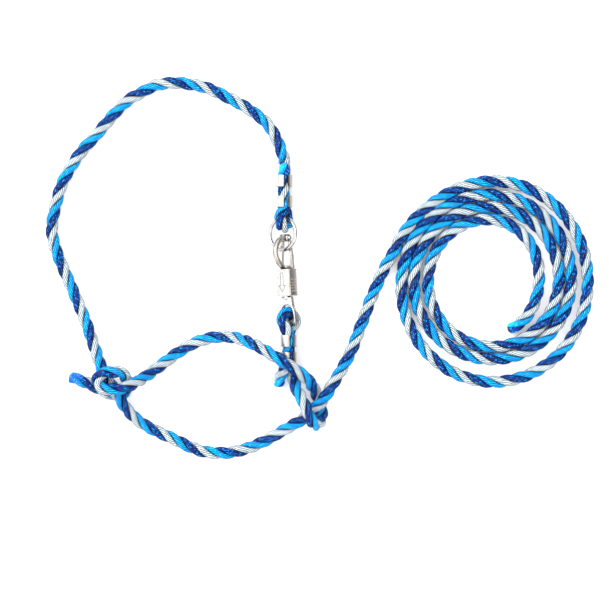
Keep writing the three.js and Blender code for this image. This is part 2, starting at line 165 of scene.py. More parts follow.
LEAD = [
    (0.1365, -0.131, WRAPPED_Z), (0.1445, -0.118, 0.016), (0.1525, -0.105, 0.0125),
    (0.1595, -0.0925, 0.009), (0.1665, -0.0775, 0.0068), (0.172, -0.0625), (0.178, -0.047),
    (0.1825, -0.034), (0.188, -0.0215), (0.1938, -0.0076), (0.1996, 0.0039), (0.2065, 0.0154),
    (0.2135, 0.0303), (0.2226, 0.0425), (0.2348, 0.0562),
]
NOSE_TAIL = [(-0.118, -0.1083, 0.0068), (-0.109, -0.1115, 0.0068), (-0.101, -0.1145, 0.0065)]
NOSE_HITCH = [
    (-0.093, -0.1182), (-0.084, -0.1228), (-0.075, -0.1264), (-0.0666, -0.1269, 0.0062),
    (-0.0605, -0.122, 0.0098), (-0.0597, -0.1137, 0.0175), (-0.0622, -0.1062, 0.0262),
    (-0.0695, -0.1035, 0.0324), (-0.0803, -0.1043, 0.0329), (-0.086, -0.1067, 0.0321),
    (-0.0884, -0.1124, 0.0312), (-0.086, -0.1181, 0.0318), (-0.0795, -0.1206, 0.0327),
    (-0.064, -0.1199, 0.0334),
]
NOSEBAND = [
    (-0.0525, -0.1152, 0.0285), (-0.0405, -0.108, 0.016), (-0.0265, -0.0975, 0.007),
    (-0.012, -0.0865), (0.0035, -0.0768), (0.0185, -0.071), (0.0335, -0.0685, 0.007),
    (0.048, -0.0695, 0.0115), (0.061, -0.0736, 0.020), (0.073, -0.079, 0.029),
    (0.085, -0.0863, OVER_CLAMP_Z - 0.0002), (0.097, -0.0937, OVER_CLAMP_Z),
    (0.108, -0.101, OVER_CLAMP_Z - 0.002), (0.120, -0.1105, 0.025),
]
NOSE_EYE = [
    (0.1275, -0.122, 0.0125), (0.132, -0.133, FLOOR_Z + 0.0002), (0.1348, -0.1435, FLOOR_Z + 0.0006),
    (0.1342, -0.1513, 0.012), (0.1298, -0.1566, 0.0198), (0.1252, -0.1532, 0.0289),
    (0.1203, -0.143, 0.0323), (0.115, -0.1305, 0.029), (0.109, -0.1195, 0.0205),
    (0.1056, -0.107, 0.011),
]
CHEEK = [(CHEEK_LOOP_X, y, LOWER_LEG_Z) for y in (-0.095, -0.080, -0.066)]
SNAP_AHEAD = np.array([-math.sin(SNAP_LEAN), math.cos(SNAP_LEAN), 0])
CHEEK_BIGHT = bight(SNAP_ORIGIN + EYE_BAR_Y * SNAP_AHEAD, CHEEK_BIGHT_R, SNAP_ROLL, 1)[::-1]
CHEEK_TAIL = [
    (CHEEK_LOOP_X, -0.066, UPPER_LEG_Z), (CHEEK_LOOP_X, -0.080, UPPER_LEG_Z),
    (CHEEK_LOOP_X, -0.0945, UPPER_LEG_Z), (0.0975, -0.102, 0.0184), (0.0932, -0.108, 0.0135),
    (0.0919, -0.1135, 0.0092), (0.092, -0.119, 0.0072),
]


class Rope:
    """One continuous rope: its centreline, its frames and how its strands turn."""

    def __init__(self, points, step, white_up, pitch):
        self.step = step
        self.line = smooth_line(points, step)
        gaps = np.linalg.norm(np.diff(self.line, axis=0), axis=1)
        self.along = np.concatenate([[0], np.cumsum(gaps)])
        self.tangent = unit(np.gradient(self.line, axis=0))
        self.side = np.empty_like(self.line)
        side = unit(np.cross(self.tangent[0], UP))
        for i, t in enumerate(self.tangent):
            side = unit(side - t * (side @ t))
            self.side[i] = side
        self.over = np.cross(self.tangent, self.side)
        self.turn = self.lay(white_up, pitch)

    def lay(self, white_up, pitch):
        """The white strand's angle along the rope: it faces up at one place and turns steadily."""
        start = int(np.argmin(abs(self.along - white_up)))
        facing = math.atan2(self.over[start] @ UP, self.side[start] @ UP)
        return facing + 2 * math.pi * (self.along - self.along[start]) / pitch

    def nearest(self, point, low=0.0):
        """The index of the sample nearest to a point, past a share of the length."""
        start = int(low * len(self.line))
        return start + int(np.argmin(np.linalg.norm(self.line[start:] - np.array(point), axis=1)))


WHITE_UP = 0.032  # metres from either rope's first point to where its white strand first faces up
ROPE_A = Rope(
    route(CROWN_TAIL, CROWN_BIGHT, CROWN, CHIN, LEAD, coil_points()), 0.0020, WHITE_UP, LAY_PITCH)
ROPE_B = Rope(
    route(NOSE_TAIL, NOSE_HITCH, NOSEBAND, NOSE_EYE, CHEEK, CHEEK_BIGHT, CHEEK_TAIL),
    0.0016, WHITE_UP, LAY_PITCH)
# ---------- end of routes ----------


# ---------- meshes ----------
def paint(mesh, key, values):
    """Keeps one number for each vertex, for a material to read."""
    mesh.attributes.new(key, "FLOAT", "POINT").data.foreach_set("value", np.asarray(values, np.float32))


def make_object(name, vertices, faces, materials, face_material=None, uvs=None, painted=None):
    mesh = bpy.data.meshes.new(name)
    mesh.from_pydata(np.asarray(vertices).tolist(), [], faces)
    for material in materials:
        mesh.materials.append(material)
    if face_material is not None:
        mesh.polygons.foreach_set("material_index", np.asarray(face_material, np.int32))
    if uvs is not None:
        layer = mesh.uv_layers.new(name="UVMap")
        layer.data.foreach_set("uv", np.asarray(uvs, np.float32).ravel())
    for key, values in (painted or {}).items():
        paint(mesh, key, values)
    mesh.polygons.foreach_set("use_smooth", np.full(len(mesh.polygons), True))
    mesh.update()
    piece = bpy.data.objects.new(name, mesh)
    bpy.context.scene.collection.objects.link(piece)
    return piece


def ring_faces(rings, sides, start=0):
    """Quads between rings of points, with a cap at each end, and the ring and side of each corner."""
    i, j = np.meshgrid(np.arange(rings - 1), np.arange(sides), indexing="ij")
    i, j = i.ravel(), j.ravel()
    k = (j + 1) % sides
    quads = np.stack([i * sides + j, i * sides + k, (i + 1) * sides + k, (i + 1) * sides + j], 1)
    faces = (quads + start).tolist()
    corner = np.stack([
        np.stack([j / sides, i], 1), np.stack([(j + 1) / sides, i], 1),
        np.stack([(j + 1) / sides, i + 1], 1), np.stack([j / sides, i + 1], 1)], 1)
    faces.append((np.arange(sides)[::-1] + start).tolist())
    faces.append((np.arange(sides) + (rings - 1) * sides + start).tolist())
    cap = np.arange(sides) / sides
    first = np.stack([cap[::-1], np.zeros(sides)], 1)
    last = np.stack([cap, np.full(sides, rings - 1)], 1)
    return faces, np.vstack([corner.reshape(-1, 2), first, last])


def melted(distance, rounding):
    """How far out, how thick and how deep-yarned strands are, by distance from a melted end."""
    curve = np.sqrt(1 - (1 - np.clip(distance / rounding, 0, 1)) ** 2)
    fade = np.clip((distance - MELT_LENGTH) / MELT_FADE, 0, 1)
    out = (0.80 + 0.20 * fade) * (0.35 + 0.65 * curve)
    thick = (1.12 - 0.12 * fade) * np.maximum(curve, 0.12)
    return out, thick, fade


def strands(rope, low, high, tip=None):
    """The three strands of a rope between two samples. tip is the melted end's sample number,
    how far its rounding reaches and how much dye it was dipped in."""
    line, turn = rope.line[low:high + 1], rope.turn[low:high + 1]
    side, over = rope.side[low:high + 1], rope.over[low:high + 1]
    along = rope.along[low:high + 1]
    rings, sides = len(line), YARNS * SIDES_PER_YARN
    out, thick, deep = (np.ones(rings),) * 3
    dipped = 0.0
    if tip:
        end, rounding, dipped = tip
        out, thick, deep = melted(abs(along - rope.along[end]), rounding)
    vertices, faces, uvs, slots, reach = [], [], [], [], []
    for k in range(3):
        angle = (turn + 2 * math.pi * k / 3)[:, None]
        away = np.cos(angle) * side + np.sin(angle) * over
        centre = line + STRAND_OFFSET * out[:, None] * away
        ahead = unit(unit(np.gradient(centre, axis=0)) * deep[:, None]
                     + rope.tangent[low:high + 1] * (1 - deep[:, None]))
        away = unit(away - ahead * np.sum(away * ahead, axis=1, keepdims=True))
        across = np.cross(ahead, away)
        yarn = 2 * math.pi * np.arange(sides) / sides
        spin = yarn[None, :] + YARN_TURN * along[:, None] + 2.1 * k
        lobe = 1 - np.abs(np.cos(YARNS * yarn / 2))
        radius = STRAND_R * thick[:, None] - YARN_DEPTH * deep[:, None] * lobe[None, :]
        ring = (centre[:, None, :]
                + (radius * np.cos(spin))[:, :, None] * away[:, None, :]
                + (radius * np.sin(spin))[:, :, None] * across[:, None, :])
        strand_faces, corners = ring_faces(rings, sides, start=k * rings * sides)
        uv = corners.copy()
        uv[:, 1] = along[0] + corners[:, 1] * rope.step
        vertices.append(ring.reshape(-1, 3))
        reach.append((np.linalg.norm(ring - line[:, None, :], axis=2) / ROPE_R).ravel())
        faces += strand_faces
        uvs.append(uv)
        slots += [k] * len(strand_faces)
    melt = np.tile(np.repeat(1 - deep, sides), 3)
    painted = {"reach": np.concatenate(reach), "melt": melt, "dip": melt * dipped}
    return np.vstack(vertices), faces, np.vstack(uvs), slots, painted


def rope_piece(name, rope, low, high, replaced, tip=None):
    vertices, faces, uvs, slots, painted = strands(rope, low, high, tip)
    piece = make_object(name, vertices, faces, STRANDS, slots, uvs, painted)
    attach(piece, "halter")
    if replaced:
        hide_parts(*replaced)
    return piece


# ---------- materials ----------
class Shader:
    """A material's node tree with a Principled shader, built by short calls."""

    def __init__(self, name, **sockets):
        self.material = bpy.data.materials.new(name)
        self.material.use_nodes = True
        self.tree = self.material.node_tree
        self.surface = self.tree.nodes["Principled BSDF"]
        for key, value in sockets.items():
            self.surface.inputs[key.replace("_", " ")].default_value = value

    def node(self, kind, **inputs):
        made = self.tree.nodes.new("ShaderNode" + kind)
        for key, value in inputs.items():
            self.feed(made.inputs[key.replace("_", " ")], value)
        return made

    def feed(self, socket, value):
        if isinstance(value, bpy.types.NodeSocket):
            self.tree.links.new(value, socket)
        else:
            socket.default_value = value

    def maths(self, operation, *values):
        made = self.tree.nodes.new("ShaderNodeMath")
        made.operation = operation
        for socket, value in zip(made.inputs, values):
            self.feed(socket, value)
        return made.outputs[0]

    def noise(self, vector, scale, detail=2.0, roughness=0.5):
        made = self.node("TexNoise", Vector=vector, Scale=scale, Detail=detail, Roughness=roughness)
        return made.outputs["Fac"]

    def ramp(self, value, *stops):
        made = self.tree.nodes.new("ShaderNodeValToRGB")
        self.feed(made.inputs["Fac"], value)
        elements = made.color_ramp.elements
        while len(elements) < len(stops):
            elements.new(1.0)
        for element, (position, colour) in zip(elements, stops):
            element.position = position
            element.color = (*colour, 1.0) if len(colour) == 3 else colour
        return made.outputs["Color"]

    def mix(self, share, a, b):
        made = self.tree.nodes.new("ShaderNodeMix")
        made.data_type = "RGBA"
        self.feed(made.inputs["Factor"], share)
        self.feed(made.inputs["A"], a if isinstance(a, bpy.types.NodeSocket) else (*a, 1.0))
        self.feed(made.inputs["B"], b if isinstance(b, bpy.types.NodeSocket) else (*b, 1.0))
        return made.outputs["Result"]

    def painted(self, key):
        made = self.tree.nodes.new("ShaderNodeAttribute")
        made.attribute_name = key
        return made.outputs["Fac"]

    def multiply(self, a, b):
        made = self.tree.nodes.new("ShaderNodeMix")
        made.data_type = "RGBA"
        made.blend_type = "MULTIPLY"
        made.inputs["Factor"].default_value = 1.0
        self.tree.links.new(a, made.inputs["A"])
        self.tree.links.new(b, made.inputs["B"])
        return made.outputs["Result"]

    def bump(self, height, strength, distance, normal=None):
        made = self.node("Bump", Height=height, Strength=strength, Distance=distance)
        if normal is not None:
            self.feed(made.inputs["Normal"], normal)
        return made.outputs["Normal"]

    def finish(self, colour=None, roughness=None, normal=None):
        for key, value in (("Base Color", colour), ("Roughness", roughness), ("Normal", normal)):
            if value is not None:
                self.feed(self.surface.inputs[key], value)
        return self.material


MELTED_BLUE = (0.0, 0.135, 0.52)


def strand_material(name, shade, plain, lit, glint_colour, glint_share, roughness):
    """Twisted polypropylene yarn: u runs round the strand, v along it in metres."""
    s = Shader(name, Sheen_Weight=0.02, Sheen_Roughness=0.4, Specular_IOR_Level=0.14)
    parts = s.node("SeparateXYZ", Vector=s.node("UVMap").outputs["UV"]).outputs
    yarns = s.maths("MULTIPLY", parts["X"], float(YARNS))

    def streaks(across, along, detail):
        """Noise drawn out along the yarns: cells per yarn across, cells per metre along."""
        at = s.node("CombineXYZ", X=s.maths("MULTIPLY", yarns, across),
                    Y=s.maths("MULTIPLY", parts["Y"], along))
        return s.noise(at.outputs[0], 1.0, detail, 0.6)

    fibre = streaks(4.0, 210.0, 3.0)
    hair = streaks(13.0, 420.0, 1.0)
    # painted glints: specks of a lighter colour, drawn out along the yarns, stand in for highlights on shiny
    # yarn
    glint = streaks(1.3, 430.0, 1.0)
    glint_spots = s.ramp(glint, (1 - glint_share, (0, 0, 0)), (1.05 - glint_share, (1, 1, 1)))
    body = s.ramp(fibre, (0.32, shade), (0.50, plain), (0.68, lit))
    body = s.mix(glint_spots, body, glint_colour)
    # painted shade: each strand darkens to near black in the grooves between its yarns, except where melted
    crest = s.maths("PINGPONG", s.maths("FRACT", yarns), 0.5)
    groove = s.ramp(crest, (0.09, (0.0, 0.0, 0.02)), (0.36, (1, 1, 1)))
    body = s.multiply(body, s.mix(s.painted("melt"), groove, (1, 1, 1)))
    # painted shade: darker where the surface lies deep between the strands, by its distance from the rope's
    # axis
    valley_shade = s.ramp(s.painted("reach"), (0.60, (0.01, 0.01, 0.02)), (0.80, (1, 1, 1)))
    plug = s.ramp(
        streaks(2.6, 700.0, 3.0), (0.34, (0.0, 0.05, 0.32)), (0.50, MELTED_BLUE), (0.60, MELTED_BLUE),
        (0.70, (0.42, 0.66, 0.90)))
    worn = s.ramp(s.noise(s.node("TexCoord").outputs["Object"], 38.0, 2.0),
                  (0.50, (0, 0, 0)), (0.85, (0.10, 0.10, 0.10)))
    gloss = s.node("MapRange", Value=fibre)
    gloss.inputs["To Min"].default_value = roughness + 0.16
    gloss.inputs["To Max"].default_value = roughness - 0.12
    normal = s.bump(fibre, 0.6, 0.00025)
    normal = s.bump(hair, 0.4, 0.00010, normal)
    body = s.multiply(s.mix(worn, body, lit), valley_shade)
    glossy = s.mix(s.painted("melt"), gloss.outputs["Result"], (0.38, 0.38, 0.38))
    return s.finish(s.mix(s.painted("dip"), body, plug), glossy, normal)


WHITE_STRAND = strand_material(
    "strand_silver_white", (0.22, 0.29, 0.35), (0.54, 0.65, 0.70), (0.76, 0.85, 0.88),
    (0.92, 0.96, 0.98), 0.42, 0.42)
LIGHT_STRAND = strand_material(
    "strand_light_blue", (0.000, 0.10, 0.62), (0.000, 0.35, 1.0), (0.000, 0.56, 1.0),
    (0.010, 0.74, 1.0), 0.42, 0.48)
DARK_STRAND = strand_material(
    "strand_dark_blue", (0.000, 0.001, 0.010), (0.000, 0.013, 0.16), (0.000, 0.055, 0.42),
    (0.001, 0.30, 0.92), 0.44, 0.46)
STRANDS = [WHITE_STRAND, DARK_STRAND, LIGHT_STRAND]


# ---------- camera, light and floor ----------
VIEW_CENTRE = Vector((0.1175, -0.0365, 0.008))
VIEW_WIDTH = 0.609
CAMERA_HEIGHT = 4.0
STAGE_Z = -0.0004  # just under the ropes' lowest yarns


def make_camera():
    data = bpy.data.cameras.new("camera")
    data.sensor_width = 36.0
    data.lens = data.sensor_width * CAMERA_HEIGHT / VIEW_WIDTH
    data.clip_end = 50.0
    camera = bpy.data.objects.new("camera", data)
    camera.location = VIEW_CENTRE + Vector((0, 0, CAMERA_HEIGHT))
    bpy.context.scene.collection.objects.link(camera)
    bpy.context.scene.camera = camera


def make_lamp(name, place, size, power, colour=(1, 1, 1)):
    data = bpy.data.lights.new(name, "AREA")
    data.shape = "DISK"
    data.size = size
    data.energy = power
    data.color = colour
    lamp = bpy.data.objects.new(name, data)
    lamp.location = place
    lamp.rotation_euler = (VIEW_CENTRE - Vector(place)).to_track_quat("-Z", "Y").to_euler()
    bpy.context.scene.collection.objects.link(lamp)


def make_stage():
    s = Shader("floor_paper", Roughness=0.9, Specular_IOR_Level=0.1)
    place = s.node("TexCoord").outputs["Object"]
    tone = s.ramp(s.noise(place, 3.0, 2.0), (0.3, (0.90, 0.90, 0.905)), (0.7, (0.92, 0.92, 0.925)))
    half = 12.0
    corners = [(x, y, STAGE_Z) for x, y in ((-half, -half), (half, -half), (half, half), (-half, half))]
    floor = make_object("floor", corners, [(0, 1, 2, 3)], [s.finish(tone)])
    world = bpy.data.worlds.new("studio")
    bpy.context.scene.world = world
    world.use_nodes = True
    # a bright room to the left and overhead, a duller warm one to the right
    tree = world.node_tree
    way = tree.nodes.new("ShaderNodeVectorMath")
    way.operation = "DOT_PRODUCT"
    way.inputs[1].default_value = (-0.40, 0.08, 0.95)
    tone = tree.nodes.new("ShaderNodeValToRGB")
    tree.links.new(tree.nodes.new("ShaderNodeTexCoord").outputs["Generated"], way.inputs[0])
    tree.links.new(way.outputs["Value"], tone.inputs[0])
    tree.links.new(tone.outputs[0], tree.nodes["Background"].inputs["Color"])
    tone.color_ramp.elements[0].position = 0.06
    tone.color_ramp.elements[0].color = (0.075, 0.068, 0.062, 1)
    tone.color_ramp.elements[1].position = 0.62
    tone.color_ramp.elements[1].color = (1, 1, 1, 1)
    tree.nodes["Background"].inputs["Strength"].default_value = 2.15
    make_lamp("key", (-0.9, 0.9, 1.7), 1.2, 26.0)
    make_lamp("fill", (1.4, -0.9, 1.6), 1.6, 15.0)
    bpy.context.scene.view_settings.view_transform = "Standard"


make_camera()
make_stage()

# ---------- ropes ----------
SPLIT_A1 = ROPE_A.nearest((0.097, 0.108, 0.007), 0.03)
SPLIT_A2 = ROPE_A.nearest((-0.0758, -0.1153, WRAPPED_Z))
SPLIT_A3 = ROPE_A.nearest((0.1365, -0.131, WRAPPED_Z))
SPLIT_B1 = ROPE_B.nearest((-0.0405, -0.108, 0.016), 0.1)
SPLIT_B2 = ROPE_B.nearest((0.120, -0.1105, 0.025))
SPLIT_B3 = ROPE_B.nearest((0.1056, -0.107, 0.011))
LAST_A = len(ROPE_A.line) - 1
LAST_B = len(ROPE_B.line) - 1

rope_piece("crown_loop_rope", ROPE_A, 0, SPLIT_A1, ["crown_loop", "crown_tail_end"], (0, 0.0050, 0.0))
crown = rope_piece("crown_rope_laid", ROPE_A, SPLIT_A1, SPLIT_A2, ["crown_rope"])
chin = rope_piece("chin_rope_laid", ROPE_A, SPLIT_A2, SPLIT_A3, ["chin_rope"])
lead = rope_piece(
    "lead_rope_laid", ROPE_A, SPLIT_A3, LAST_A, ["lead_rope", "lead_coil"], (LAST_A, 0.0045, 0.0))
rope_piece("nose_wrap_laid", ROPE_B, 0, SPLIT_B1, ["nose_wrap", "nose_tail_end"], (0, 0.0014, 1.0))
noseband = rope_piece("noseband_laid", ROPE_B, SPLIT_B1, SPLIT_B2, ["noseband"])
rope_piece("nose_eye_laid", ROPE_B, SPLIT_B2, SPLIT_B3, ["nose_eye"])
rope_piece(
    "cheek_loop_rope", ROPE_B, SPLIT_B3, LAST_B, ["cheek_loop", "cheek_tail_end"],
    (LAST_B, 0.0045, 0.25))


# ---------- metal ----------
def metal_material(name, colour, dull, roughness, grain, pits, shaded=True):
    """Plated metal: soft clouding, fine scratches, small pits, and painted shade in its hollows.

    A shaded one also has painted shade: darker by the directions that its faces have at rest.
    """
    s = Shader(name, Metallic=1.0)
    place = s.node("TexCoord").outputs["Object"]
    cloud = s.noise(place, 140.0, 3.0, 0.5)
    tint = s.ramp(cloud, (0.25, dull), (0.50, colour))
    # painted shade: darker in the hollows, by the mesh's pointiness
    hollow_shade = s.ramp(s.node("NewGeometry").outputs["Pointiness"],
                    (0.42, (0.16, 0.15, 0.14)), (0.495, (1, 1, 1)))
    stretched = s.node("Mapping", Vector=place)
    stretched.inputs["Scale"].default_value = grain
    scratches = s.noise(stretched.outputs[0], 1.0, 3.0, 0.7)
    speck = s.noise(place, 1900.0, 2.0)
    rough = s.node("MapRange", Value=s.maths("ADD", s.maths("MULTIPLY", scratches, 0.6),
                                             s.maths("MULTIPLY", cloud, 0.4)))
    rough.inputs["From Min"].default_value = 0.3
    rough.inputs["From Max"].default_value = 0.7
    rough.inputs["To Min"].default_value = roughness - 0.08
    rough.inputs["To Max"].default_value = roughness + 0.12
    normal = s.bump(scratches, 0.25, 0.00006)
    normal = s.bump(speck, pits, 0.00005, normal)
    normal = s.bump(cloud, 0.15, 0.00010, normal)
    body = s.multiply(tint, hollow_shade)
    # painted shade: darker on upright faces and on faces turned away from BRIGHT_SIDE at rest
    if shaded:
        body = s.multiply(body, s.ramp(
            s.painted("facing_up"), (0.05, (0.62, 0.60, 0.58)), (0.50, (1, 1, 1))))
        body = s.multiply(body, s.ramp(
            s.painted("bright_side"), (0.30, (0.60, 0.535, 0.465)), (0.77, (0.68, 0.62, 0.55)),
            (0.88, (1, 1, 1))))
    return s.finish(body, rough.outputs["Result"], normal)


CAST_NICKEL = metal_material(
    "cast_nickel", (0.57, 0.56, 0.55), (0.50, 0.49, 0.48), 0.26, (900, 900, 240), 0.25)
RING_NICKEL = metal_material(
    "ring_nickel", (0.44, 0.43, 0.43), (0.33, 0.325, 0.325), 0.10, (500, 500, 500), 0.15, False)
CLAMP_STEEL = metal_material(
    "clamp_nickel_steel", (0.53, 0.515, 0.485), (0.45, 0.43, 0.40), 0.28, (160, 3200, 160), 0.20)
# painted shade: a dark metal for the arrow's outline, standing in for the shade along the arrow's edges
ARROW_LINE_SHADE = metal_material(
    "arrow_line_painted_shade", (0.10, 0.095, 0.09), (0.05, 0.05, 0.048), 0.45, (900, 900, 900), 0.3, False)
SPRING_STEEL = metal_material(
    "spring_wire_steel", (0.50, 0.49, 0.48), (0.36, 0.35, 0.34), 0.30, (700, 700, 700), 0.20, False)

MM = 0.001
# painted shading, not wear: the shaded metals are left bright where they face this way at rest, and
# darkened elsewhere and on upright faces
BRIGHT_SIDE = Vector((-0.85, 0.0, 0.53))
SNAP_TURN = (Matrix.Translation(Vector(SNAP_ORIGIN)) @ Matrix.Rotation(SNAP_LEAN, 4, "Z")
             @ Matrix.Rotation(-SNAP_ROLL, 4, "Y") @ Matrix.Scale(MM, 4))


def arc(x, y, radius, start, end, count=10):
    """Points on an arc, its angles in degrees."""
    turns = np.radians(np.linspace(start, end, count))
    return [(x + radius * math.cos(t), y + radius * math.sin(t)) for t in turns]


def rounded(width, height, radius, count=8):
    x, y = width / 2 - radius, height / 2 - radius
    return (arc(x, y, radius, 0, 90, count) + arc(-x, y, radius, 90, 180, count)
            + arc(-x, -y, radius, 180, 270, count) + arc(x, -y, radius, 270, 360, count))


def plate(outlines, depth, edge=0.4, turn=None, steps=3):
    """A plate with rounded edges, outlined in x and y, its thickness along z, as a mesh."""
    curve = bpy.data.curves.new("plate", "CURVE")
    curve.dimensions = "2D"
    curve.fill_mode = "BOTH"
    curve.extrude = depth / 2 - edge
    curve.bevel_depth = edge
    curve.bevel_resolution = steps
    curve.offset = -edge
    for outline in outlines:
        spline = curve.splines.new("POLY")
        spline.points.add(len(outline) - 1)
        for point, (x, y) in zip(spline.points, outline):
            point.co = (x, y, 0, 1)
        spline.use_cyclic_u = True
    holder = bpy.data.objects.new("plate", curve)
    bpy.context.scene.collection.objects.link(holder)
    mesh = bpy.data.meshes.new_from_object(holder.evaluated_get(bpy.context.evaluated_depsgraph_get()))
    bpy.data.objects.remove(holder)
    mesh.transform(turn or Matrix.Identity(4))
    return mesh


def swept(sections):
    """A closed mesh through sections, each a ring of points."""
    sections = np.asarray(sections)
    faces, _ = ring_faces(len(sections), sections.shape[1])
    mesh = bpy.data.meshes.new("swept")
    mesh.from_pydata(sections.reshape(-1, 3).tolist(), [], faces)
    return mesh


def turned(profile, axis="Y", sides=40):
    """A solid of revolution from (radius, height) pairs, its ends on or near the axis."""
    angles = 2 * math.pi * np.arange(sides) / sides
    rings = []
    for radius, height in profile:
        a, b = radius * np.cos(angles), radius * np.sin(angles)
        h = np.full(sides, height)
        rings.append(np.stack({"X": (h, a, b), "Y": (b, h, a), "Z": (a, b, h)}[axis], 1))
    return swept(rings)


def shifted(mesh, x=0.0, y=0.0, z=0.0):
    mesh.transform(Matrix.Translation((x, y, z)))
    return mesh


def metal_piece(name, meshes, material, place, body, replaced, voxel=None, soften=0):
    """Joins meshes drawn in millimetres into one piece. With voxel they flow into one casting."""
    data = bpy.data.meshes.new(name)
    vertices, faces = [], []
    for mesh in meshes:
        start = len(vertices)
        vertices += [tuple(v.co) for v in mesh.vertices]
        faces += [[start + i for i in p.vertices] for p in mesh.polygons]
        bpy.data.meshes.remove(mesh)
    data.from_pydata(vertices, [], faces)
    outward = bmesh.new()
    outward.from_mesh(data)
    bmesh.ops.recalc_face_normals(outward, faces=outward.faces)
    outward.to_mesh(data)
    outward.free()
    piece = bpy.data.objects.new(name, data)
    bpy.context.scene.collection.objects.link(piece)
    if voxel:
        remesh = piece.modifiers.new("cast", "REMESH")
        remesh.mode = "VOXEL"
        remesh.voxel_size = voxel
        remesh.use_smooth_shade = True
        smooth = piece.modifiers.new("soften", "SMOOTH")
        smooth.factor = 0.5
        smooth.iterations = soften
        made = bpy.data.meshes.new_from_object(
            piece.evaluated_get(bpy.context.evaluated_depsgraph_get()))
        piece.modifiers.clear()
        piece.data = made
        bpy.data.meshes.remove(data)
        made.name = name
    piece.data.materials.clear()
    piece.data.materials.append(material)
    piece.data.transform(place)
    piece.data.polygons.foreach_set("use_smooth", np.full(len(piece.data.polygons), True))
    if not voxel:
        piece.data.set_sharp_from_angle(angle=math.radians(50))
    paint(piece.data, "facing_up", [v.normal.z for v in piece.data.vertices])
    paint(piece.data, "bright_side", [0.5 + 0.5 * v.normal.dot(BRIGHT_SIDE) for v in piece.data.vertices])
    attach(piece, body)
    if replaced:
        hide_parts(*replaced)
    return piece


CLAMP_WALL, CLAMP_INSIDE_R, CLAMP_SLOT, CLAMP_CORNER_R = 1.5, 6.5, 4.6, 5.4
CLAMPS = [
    ("crown_clamp_upper", CROWN_LOOP_X, 0.0868, 11.6, 2.3),
    ("crown_clamp_lower", CROWN_LOOP_X, 0.0663, 11.0, 2.3),
    ("cheek_clamp_upper", CHEEK_LOOP_X, -0.0728, 12.0, 3.2),
    ("cheek_clamp_lower", CHEEK_LOOP_X, -0.0890, 10.0, 3.2),
]


def make_clamp(name, x, y, width, slot_x):
    """A band bent round both legs of the rope, its two lips rolled in towards the slot."""
    outer, inner = CLAMP_INSIDE_R + CLAMP_WALL, CLAMP_INSIDE_R
    low, high = LOWER_LEG_Z / MM, UPPER_LEG_Z / MM
    left = 90 + math.degrees(math.asin((CLAMP_SLOT / 2 - slot_x) / outer))
    right = 90 - math.degrees(math.asin((CLAMP_SLOT / 2 + slot_x) / outer))
    corner = CLAMP_CORNER_R
    outline = (
        arc(0, high, outer, left, 180, 22) + arc(corner - outer, corner, corner, 180, 270, 14)
        + arc(outer - corner, corner, corner, 270, 360, 14) + arc(0, high, outer, 0, right, 12)
        + arc(0, high, inner, right, 0, 12) + arc(0, low, inner, 360, 180, 30)
        + arc(0, high, inner, 180, left, 22))
    band = plate([outline], width, 0.38, Matrix.Rotation(math.pi / 2, 4, "X"), 4)
    place = Matrix.Translation((x, y, 0)) @ Matrix.Scale(MM, 4)
    return metal_piece(name + "_band", [band], CLAMP_STEEL, place, "halter", [name])


for clamp in CLAMPS:
    make_clamp(*clamp)


def make_ring():
    """A welded wire ring, with the slight swelling of its weld."""
    around = 2 * math.pi * np.arange(160) / 160
    tube = 2 * math.pi * np.arange(28) / 28
    weld = 1 + 0.10 * np.exp(-((around - 4.1) / 0.07) ** 2)
    u, v = np.meshgrid(around, tube, indexing="ij")
    wire = RING_WIRE_R / MM * weld[:, None]
    radius = RING_R / MM + wire * np.cos(v)
    points = np.stack([radius * np.cos(u), radius * np.sin(u), wire * np.sin(v)], 2)
    i, j = np.meshgrid(np.arange(160), np.arange(28), indexing="ij")
    i, j = i.ravel(), j.ravel()
    quads = np.stack([i * 28 + j, (i + 1) % 160 * 28 + j,
                      (i + 1) % 160 * 28 + (j + 1) % 28, i * 28 + (j + 1) % 28], 1)
    mesh = bpy.data.meshes.new("ring")
    mesh.from_pydata(points.reshape(-1, 3).tolist(), [], quads.tolist())
    place = (Matrix.Translation(Vector(RING_CENTRE)) @ Matrix.Rotation(RING_LEAN, 4, "Z")
             @ Matrix.Rotation(-RING_TILT, 4, "Y") @ Matrix.Scale(MM, 4))
    metal_piece("o_ring_welded", [mesh], RING_NICKEL, place, "ring", ["o_ring"])


make_ring()

# the snap's own frame, in millimetres: +Y towards the ring, +Z out of its front
FORK_Z, FORK_THICK = -2.6, 3.4
HINGE_Y, HINGE_Z = 31.0, -1.6
BOW_WIDTH = 6.0
SLEEVE_W, SLEEVE_D, SLEEVE_LENGTH, SLEEVE_WALL = 19.2, 13.8, 27.0, 1.5


def smooth_outline(points, closed=True, count=8):
    """A rounded outline through a few points."""
    p = [np.array(q, float) for q in points]
    spans = len(p) if closed else len(p) - 1
    made = []
    for i in range(spans):
        if closed:
            a, b, c, d = (p[(i + k) % len(p)] for k in (-1, 0, 1, 2))
        else:
            a, b, c, d = (p[min(max(i + k, 0), len(p) - 1)] for k in (-1, 0, 1, 2))
        for t in np.linspace(0, 1, count, endpoint=False):
            made.append(0.5 * (2 * b + (c - a) * t + (2 * a - 5 * b + 4 * c - d) * t**2
                               + (3 * (b - c) + d - a) * t**3))
    if not closed:
        made.append(p[-1])
    return made


